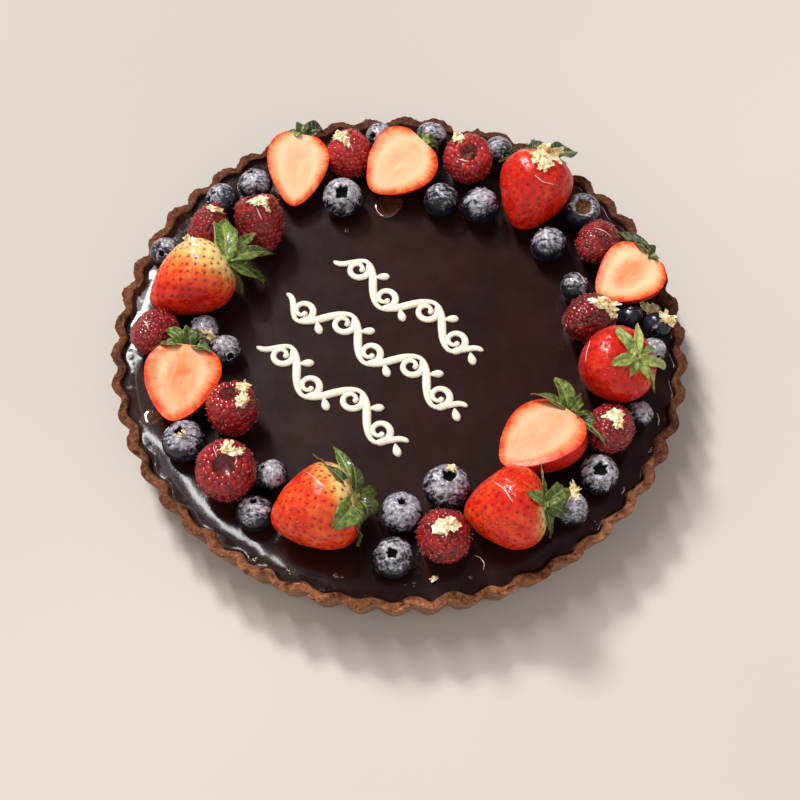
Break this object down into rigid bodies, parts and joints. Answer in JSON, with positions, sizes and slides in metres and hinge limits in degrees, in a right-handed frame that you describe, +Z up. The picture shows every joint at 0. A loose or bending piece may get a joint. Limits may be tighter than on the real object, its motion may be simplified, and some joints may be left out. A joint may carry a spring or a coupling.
{
  "type": "chocolate tart",
  "caption": "Round fluted chocolate tart with a smooth ganache filling, ringed with fresh strawberries, cut strawberries, raspberries and blueberries.",
  "frame": {"origin": "centre of the round underside, where the tart stands", "axes": "+Z up through the tart's centre; +Y points to the back of the tart and +X to its right, as it is seen from the front"},
  "size_m": [0.2388, 0.2394, 0.0585],
  "materials": {
    "crust": "matt, grainy baked chocolate shortcrust",
    "ganache": "satin set chocolate ganache, glossier near the rim",
    "blueberry": "blue-black skin with a pale waxy bloom and a light glaze",
    "raspberry": "glossy crimson drupelets",
    "strawberry": "glossy red skin, with pale flesh where a berry is cut"
  },
  "bodies": {
    "root": {"crust": "crust", "filling": "ganache", "blueberry_01": "blueberry", "blueberry_02": "blueberry", "blueberry_03": "blueberry", "blueberry_04": "blueberry", "blueberry_05": "blueberry", "blueberry_06": "blueberry", "blueberry_07": "blueberry", "blueberry_08": "blueberry", "blueberry_09": "blueberry", "blueberry_10": "blueberry", "blueberry_11": "blueberry", "blueberry_12": "blueberry", "blueberry_13": "blueberry", "blueberry_14": "blueberry", "blueberry_15": "blueberry", "blueberry_16": "blueberry", "blueberry_17": "blueberry", "blueberry_18": "blueberry", "blueberry_19": "blueberry", "blueberry_20": "blueberry", "blueberry_21": "blueberry", "blueberry_22": "blueberry", "blueberry_23": "blueberry", "blueberry_24": "blueberry", "blueberry_25": "blueberry", "blueberry_26": "blueberry", "raspberry_01": "raspberry", "raspberry_02": "raspberry", "raspberry_03": "raspberry", "raspberry_04": "raspberry", "raspberry_05": "raspberry", "raspberry_06": "raspberry", "raspberry_07": "raspberry", "raspberry_08": "raspberry", "raspberry_09": "raspberry", "raspberry_10": "raspberry", "raspberry_11": "raspberry", "strawberry_01": "strawberry", "strawberry_02": "strawberry", "strawberry_03": "strawberry", "strawberry_04": "strawberry", "strawberry_05": "strawberry", "strawberry_half_01": "strawberry", "strawberry_half_02": "strawberry", "strawberry_half_03": "strawberry", "strawberry_half_04": "strawberry", "strawberry_half_05": "strawberry"}
  },
  "joints": []
}
